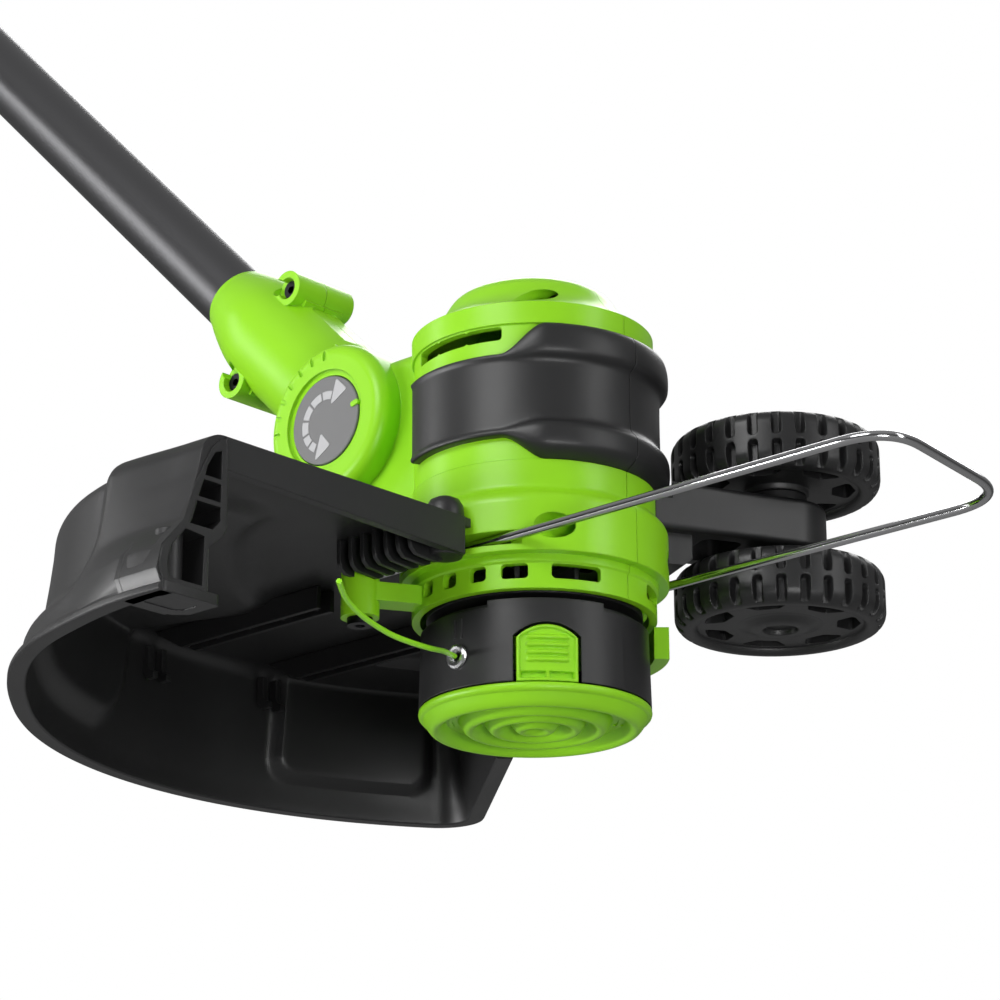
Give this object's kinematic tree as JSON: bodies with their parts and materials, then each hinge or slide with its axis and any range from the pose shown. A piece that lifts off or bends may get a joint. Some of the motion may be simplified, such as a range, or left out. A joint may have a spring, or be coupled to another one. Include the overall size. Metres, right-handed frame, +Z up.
{
  "type": "string trimmer",
  "caption": "Battery string trimmer with a pivoting motor head, half-round guard, edging wheels, wire plant guard, telescopic twisting shaft, front bail and trigger handle.",
  "frame": {"origin": "lowest point of the spool cap, on the spool's axis", "axes": "+Z up the spool's axis, +X away from the shaft, the way the head points, -Y the left side of the user"},
  "size_m": [1.0929, 0.2789, 0.9604],
  "materials": {
    "green_plastic": "satin moulded",
    "black_plastic": "fine grained satin",
    "grey_plastic": "satin",
    "shaft_metal": "satin powder coat",
    "steel": "zinc plated",
    "dark_steel": "black oxide",
    "motor_steel": "plated",
    "magnet": "sintered ferrite",
    "copper": "enamelled wire",
    "chrome": "bright plated",
    "line_nylon": "glossy monofilament",
    "cable_rubber": "matte",
    "grip_rubber": "matte soft grip",
    "cell_wrap": "shrink wrap"
  },
  "bodies": {
    "handle": {"handle_left": "green_plastic", "handle_right": "green_plastic", "handle_screws": "dark_steel", "switch_box": "black_plastic", "contact_block": "black_plastic", "trigger_spring": "steel", "upper_tube": "shaft_metal", "clamp_collar": "black_plastic", "clamp_bolt": "steel", "aux_clamp": "black_plastic", "aux_bolt": "steel"},
    "trigger": {"trigger": "black_plastic"},
    "lock_off": {"lock_off_button": "black_plastic"},
    "battery": {"battery_pack": "black_plastic", "battery_cells": "cell_wrap"},
    "battery_latch": {"battery_latch": "green_plastic"},
    "clamp_lever": {"clamp_lever": "green_plastic"},
    "aux_handle": {"aux_handle": "black_plastic", "aux_grip": "grip_rubber"},
    "aux_knob": {"aux_knob": "black_plastic"},
    "twist_bush": {"twist_bush": "black_plastic"},
    "lower_shaft": {"lower_tube": "shaft_metal", "neck_left": "green_plastic", "neck_right": "green_plastic", "neck_screws": "dark_steel", "power_lead": "cable_rubber"},
    "head": {"housing_left": "green_plastic", "housing_right": "green_plastic", "band_left": "black_plastic", "band_right": "black_plastic", "housing_screws": "dark_steel", "pivot_pin": "steel", "pivot_cover": "grey_plastic", "pivot_spring": "steel", "motor_can": "motor_steel", "motor_magnets": "magnet", "motor_plate": "black_plastic", "motor_bearings": "steel", "guard": "black_plastic", "guard_screws": "dark_steel", "cutter_blade": "steel", "wheel_bracket": "black_plastic", "wheel_axle": "steel", "wheel_screws": "dark_steel"},
    "pivot_button": {"pivot_button": "grey_plastic"},
    "spool": {"spool_housing": "black_plastic", "spool_cap": "green_plastic", "line_eyelets": "chrome", "spool_reel": "black_plastic", "line_winding": "line_nylon", "spool_spring": "steel", "drive_shaft": "steel", "motor_rotor": "copper", "cooling_fan": "black_plastic", "trimmer_line": "line_nylon"},
    "latch_front": {"cap_latch_front": "green_plastic"},
    "latch_rear": {"cap_latch_rear": "green_plastic"},
    "wheel_lower": {"wheel_lower": "black_plastic"},
    "wheel_upper": {"wheel_upper": "black_plastic"},
    "wire_guard": {"wire_guard": "chrome"}
  },
  "joints": [
    {"name": "shaft_twist", "type": "hinge", "parent": "handle", "child": "twist_bush", "pos_m": [-0.41077, 0, 0.4478], "axis": [-0.7162, 0, 0.6979], "range_deg": [0, 180]},
    {"name": "shaft_slide", "type": "slide", "parent": "twist_bush", "child": "lower_shaft", "axis": [0.7162, 0, -0.6979], "range_m": [0, 0.22]},
    {"name": "head_pivot", "type": "hinge", "parent": "lower_shaft", "child": "head", "pos_m": [-0.067, 0, 0.1128], "axis": [0, 1, 0], "range_deg": [-45, 45]},
    {"name": "pivot_button_press", "type": "slide", "parent": "head", "child": "pivot_button", "axis": [0, 1, 0], "range_m": [0, 0.002], "stiffness_N_per_m": 3000, "springref_m": -0.001, "deforming": ["pivot_spring"]},
    {"name": "spool_spin", "type": "hinge", "parent": "head", "child": "spool", "pos_m": [0, 0, 0.05], "axis": [0, 0, 1], "continuous": true},
    {"name": "latch_front_press", "type": "slide", "parent": "spool", "child": "latch_front", "axis": [-0.7431, 0.6691, 0], "range_m": [0, 0.0012], "stiffness_N_per_m": 3000, "springref_m": -0.0005},
    {"name": "latch_rear_press", "type": "slide", "parent": "spool", "child": "latch_rear", "axis": [0.7431, -0.6691, 0], "range_m": [0, 0.0012], "stiffness_N_per_m": 3000, "springref_m": -0.0005},
    {"name": "wheel_lower_spin", "type": "hinge", "parent": "head", "child": "wheel_lower", "pos_m": [0.03859, 0.07607, 0.0511], "axis": [0, 0, 1], "continuous": true},
    {"name": "wheel_upper_spin", "type": "hinge", "parent": "head", "child": "wheel_upper", "pos_m": [0.03859, 0.07607, 0.0963], "axis": [0, 0, 1], "continuous": true},
    {"name": "wire_slide", "type": "slide", "parent": "head", "child": "wire_guard", "axis": [1, 0, 0], "range_m": [-0.028, 0]},
    {"name": "clamp_lever_flip", "type": "hinge", "parent": "handle", "child": "clamp_lever", "pos_m": [-0.40951, 0, 0.48204], "axis": [0, 1, 0], "range_deg": [0, 100]},
    {"name": "aux_tilt", "type": "hinge", "parent": "handle", "child": "aux_handle", "pos_m": [-0.5432, 0, 0.62712], "axis": [0, 1, 0], "range_deg": [-30, 30]},
    {"name": "aux_knob_turn", "type": "hinge", "parent": "handle", "child": "aux_knob", "pos_m": [-0.5432, -0.026, 0.62712], "axis": [0, 1, 0], "continuous": true},
    {"name": "trigger_pull", "type": "hinge", "parent": "handle", "child": "trigger", "pos_m": [-0.7153, 0, 0.81159], "axis": [0, 1, 0], "range_deg": [0, 8], "stiffness_Nm_per_rad": 0.6, "springref_deg": -5.73, "deforming": ["trigger_spring"]},
    {"name": "lock_off_press", "type": "slide", "parent": "handle", "child": "lock_off", "axis": [-0.6979, 0, -0.7162], "range_m": [0, 0.002], "stiffness_N_per_m": 2000, "springref_m": -0.001},
    {"name": "battery_slide", "type": "slide", "parent": "handle", "child": "battery", "axis": [0.6979, 0, 0.7162], "range_m": [0, 0.085]},
    {"name": "battery_latch_press", "type": "slide", "parent": "battery", "child": "battery_latch", "axis": [-0.6979, 0, -0.7162], "range_m": [0, 0.0025], "stiffness_N_per_m": 2000, "springref_m": -0.001}
  ]
}
